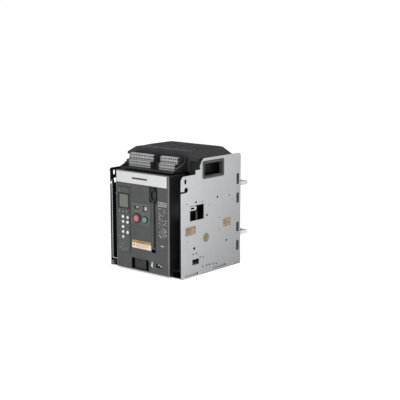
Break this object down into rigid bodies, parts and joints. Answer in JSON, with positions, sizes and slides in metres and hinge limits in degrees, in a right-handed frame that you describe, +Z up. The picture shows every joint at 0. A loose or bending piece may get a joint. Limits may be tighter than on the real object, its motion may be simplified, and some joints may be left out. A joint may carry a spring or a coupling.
{
  "type": "withdrawable air circuit breaker",
  "caption": "Air circuit breaker on slide-out rails in a steel cassette, with trip unit, push buttons, charging handle, shutters and flat rear terminals.",
  "frame": {"origin": "centre of the four base bolt holes, on the cassette's ground face", "axes": "+Z up, +Y from the front panel towards the rear terminals, +X to the right seen from the front"},
  "size_m": [0.283, 0.372, 0.352],
  "materials": {
    "galvanised": "satin",
    "steel": "satin",
    "black_moulding": "matte",
    "cover_moulding": "satin",
    "header_white": "satin",
    "tinned_copper": "satin",
    "copper": "satin",
    "terminal_grey": "satin",
    "screw_steel": "satin",
    "insulating_brown": "matte",
    "display": "gloss",
    "dial_white": "satin",
    "key_grey": "satin",
    "button_red": "gloss",
    "button_green": "gloss",
    "flag_green": "matte",
    "flag_white": "matte",
    "cast_motor": "matte"
  },
  "bodies": {
    "cassette": {"left_side_plate": "galvanised", "right_side_plate": "galvanised", "floor_plate": "galvanised", "rear_wall": "black_moulding", "power_terminals": "tinned_copper", "rail_guides": "black_moulding", "terminal_housing": "black_moulding", "terminal_modules": "terminal_grey", "terminal_screws": "screw_steel", "arc_hood": "black_moulding", "lifting_window_rims": "black_moulding", "racking_nut": "steel", "plate_rivets": "steel"},
    "rails": {"left_extension_rail": "galvanised", "right_extension_rail": "galvanised"},
    "upper_shutter": {"upper_shutter": "insulating_brown"},
    "lower_shutter": {"lower_shutter": "insulating_brown"},
    "breaker": {"front_cover": "cover_moulding", "header_plate": "header_white", "trip_unit_case": "black_moulding", "trip_display": "display", "button_panel": "cover_moulding", "cover_screws": "screw_steel", "racking_bracket": "steel", "support_lugs": "steel", "pole_case": "cover_moulding", "mechanism_plate": "insulating_brown", "line_contacts": "copper", "load_contacts": "copper", "arc_chute_cases": "insulating_brown", "arc_splitters": "steel", "current_sensors": "insulating_brown", "finger_clusters": "copper", "mechanism_frames": "steel", "motor_gearbox": "cast_motor", "closing_spring": "screw_steel"},
    "contact_arms": {"contact_arms": "copper"},
    "main_shaft": {"main_shaft": "steel"},
    "cam_shaft": {"cam_shaft": "steel", "ratchet_wheel": "steel"},
    "charging_handle": {"charging_handle": "black_moulding"},
    "off_button": {"off_button": "button_red"},
    "on_button": {"on_button": "button_green"},
    "contact_flag": {"contact_flag": "flag_green"},
    "charge_flag": {"charge_flag": "flag_white"},
    "racking_screw": {"racking_screw": "steel"},
    "racking_shutter": {"racking_shutter": "black_moulding"},
    "racking_release_dial": {"racking_release_dial": "header_white"},
    "position_indicator": {"position_indicator": "header_white"},
    "dial_rating": {"dial_rating": "dial_white"},
    "dial_long_pickup": {"dial_long_pickup": "dial_white"},
    "dial_long_delay": {"dial_long_delay": "dial_white"},
    "dial_short_pickup": {"dial_short_pickup": "dial_white"},
    "dial_short_delay": {"dial_short_delay": "dial_white"},
    "dial_instant": {"dial_instant": "dial_white"},
    "dial_earth_pickup": {"dial_earth_pickup": "dial_white"},
    "dial_earth_delay": {"dial_earth_delay": "dial_white"},
    "key_left": {"key_left": "key_grey"},
    "key_middle": {"key_middle": "key_grey"},
    "key_right": {"key_right": "key_grey"}
  },
  "joints": [
    {"name": "withdraw_slide", "type": "slide", "parent": "cassette", "child": "rails", "axis": [0, -1, 0], "range_m": [0, 0.2]},
    {"name": "racking_slide", "type": "slide", "parent": "rails", "child": "breaker", "axis": [0, -1, 0], "range_m": [0, 0.048]},
    {"name": "upper_shutter_slide", "type": "slide", "parent": "cassette", "child": "upper_shutter", "axis": [0, 0, -1], "range_m": [0, 0.045]},
    {"name": "lower_shutter_slide", "type": "slide", "parent": "cassette", "child": "lower_shutter", "axis": [0, 0, 1], "range_m": [0, 0.045]},
    {"name": "racking_screw_turn", "type": "hinge", "parent": "breaker", "child": "racking_screw", "pos_m": [-0.014, -0.13, 0.024], "axis": [0, 1, 0], "range_deg": [0, 4330]},
    {"name": "position_indicator_slide", "type": "slide", "parent": "breaker", "child": "position_indicator", "axis": [0, 0, 1], "range_m": [0, 0.0185]},
    {"name": "racking_shutter_slide", "type": "slide", "parent": "breaker", "child": "racking_shutter", "axis": [0, 0, 1], "range_m": [0, 0.028]},
    {"name": "racking_release_turn", "type": "hinge", "parent": "breaker", "child": "racking_release_dial", "pos_m": [0.0385, -0.1325, 0.028], "axis": [0, 1, 0], "range_deg": [0, 90]},
    {"name": "handle_swing", "type": "hinge", "parent": "breaker", "child": "charging_handle", "pos_m": [0.0425, -0.1315, 0.076], "axis": [1, 0, 0], "range_deg": [0, 75], "deforming": ["closing_spring"]},
    {"name": "cam_turn", "type": "hinge", "parent": "breaker", "child": "cam_shaft", "pos_m": [0, -0.1005, 0.222], "axis": [1, 0, 0], "range_deg": [0, 30.5]},
    {"name": "contact_swing", "type": "hinge", "parent": "breaker", "child": "contact_arms", "pos_m": [0, -0.0125, 0.1], "axis": [-1, 0, 0], "range_deg": [0, 18]},
    {"name": "main_shaft_turn", "type": "hinge", "parent": "breaker", "child": "main_shaft", "pos_m": [0, -0.0865, 0.128], "axis": [-1, 0, 0], "range_deg": [0, 33]},
    {"name": "contact_flag_slide", "type": "slide", "parent": "breaker", "child": "contact_flag", "axis": [0, 0, -1], "range_m": [0, 0.0125]},
    {"name": "charge_flag_slide", "type": "slide", "parent": "breaker", "child": "charge_flag", "axis": [0, 0, -1], "range_m": [0, 0.0125]},
    {"name": "off_button_press", "type": "slide", "parent": "breaker", "child": "off_button", "axis": [0, 1, 0], "range_m": [0, 0.004], "stiffness_N_per_m": 600, "springref_m": -0.002},
    {"name": "on_button_press", "type": "slide", "parent": "breaker", "child": "on_button", "axis": [0, 1, 0], "range_m": [0, 0.004], "stiffness_N_per_m": 600, "springref_m": -0.002},
    {"name": "dial_rating_turn", "type": "hinge", "parent": "breaker", "child": "dial_rating", "pos_m": [-0.0775, -0.1415, 0.156], "axis": [0, 1, 0], "range_deg": [0, 270]},
    {"name": "dial_long_pickup_turn", "type": "hinge", "parent": "breaker", "child": "dial_long_pickup", "pos_m": [-0.0775, -0.1415, 0.141], "axis": [0, 1, 0], "range_deg": [0, 270]},
    {"name": "dial_long_delay_turn", "type": "hinge", "parent": "breaker", "child": "dial_long_delay", "pos_m": [-0.0775, -0.1415, 0.126], "axis": [0, 1, 0], "range_deg": [0, 270]},
    {"name": "dial_short_pickup_turn", "type": "hinge", "parent": "breaker", "child": "dial_short_pickup", "pos_m": [-0.0775, -0.1415, 0.111], "axis": [0, 1, 0], "range_deg": [0, 270]},
    {"name": "dial_short_delay_turn", "type": "hinge", "parent": "breaker", "child": "dial_short_delay", "pos_m": [-0.0775, -0.1415, 0.096], "axis": [0, 1, 0], "range_deg": [0, 270]},
    {"name": "dial_instant_turn", "type": "hinge", "parent": "breaker", "child": "dial_instant", "pos_m": [-0.059, -0.1415, 0.155], "axis": [0, 1, 0], "range_deg": [0, 270]},
    {"name": "dial_earth_pickup_turn", "type": "hinge", "parent": "breaker", "child": "dial_earth_pickup", "pos_m": [-0.059, -0.1415, 0.141], "axis": [0, 1, 0], "range_deg": [0, 270]},
    {"name": "dial_earth_delay_turn", "type": "hinge", "parent": "breaker", "child": "dial_earth_delay", "pos_m": [-0.059, -0.1415, 0.111], "axis": [0, 1, 0], "range_deg": [0, 270]},
    {"name": "key_left_press", "type": "slide", "parent": "breaker", "child": "key_left", "axis": [0, 1, 0], "range_m": [0, 0.0015], "stiffness_N_per_m": 500, "springref_m": -0.001},
    {"name": "key_middle_press", "type": "slide", "parent": "breaker", "child": "key_middle", "axis": [0, 1, 0], "range_m": [0, 0.0015], "stiffness_N_per_m": 500, "springref_m": -0.001},
    {"name": "key_right_press", "type": "slide", "parent": "breaker", "child": "key_right", "axis": [0, 1, 0], "range_m": [0, 0.0015], "stiffness_N_per_m": 500, "springref_m": -0.001}
  ],
  "couplings": [
    {"joint": "racking_screw_turn", "follows": "racking_slide", "rad_per_m": 1570.8},
    {"joint": "upper_shutter_slide", "follows": "racking_slide", "ratio": 0.92},
    {"joint": "lower_shutter_slide", "follows": "racking_slide", "ratio": 0.92},
    {"joint": "position_indicator_slide", "follows": "racking_slide", "ratio": 0.375},
    {"joint": "cam_turn", "follows": "handle_swing", "ratio": 0.4},
    {"joint": "charge_flag_slide", "follows": "handle_swing", "m_per_rad": 0.00916},
    {"joint": "main_shaft_turn", "follows": "contact_swing", "ratio": 1.8},
    {"joint": "contact_flag_slide", "follows": "contact_swing", "m_per_rad": 0.0382}
  ]
}
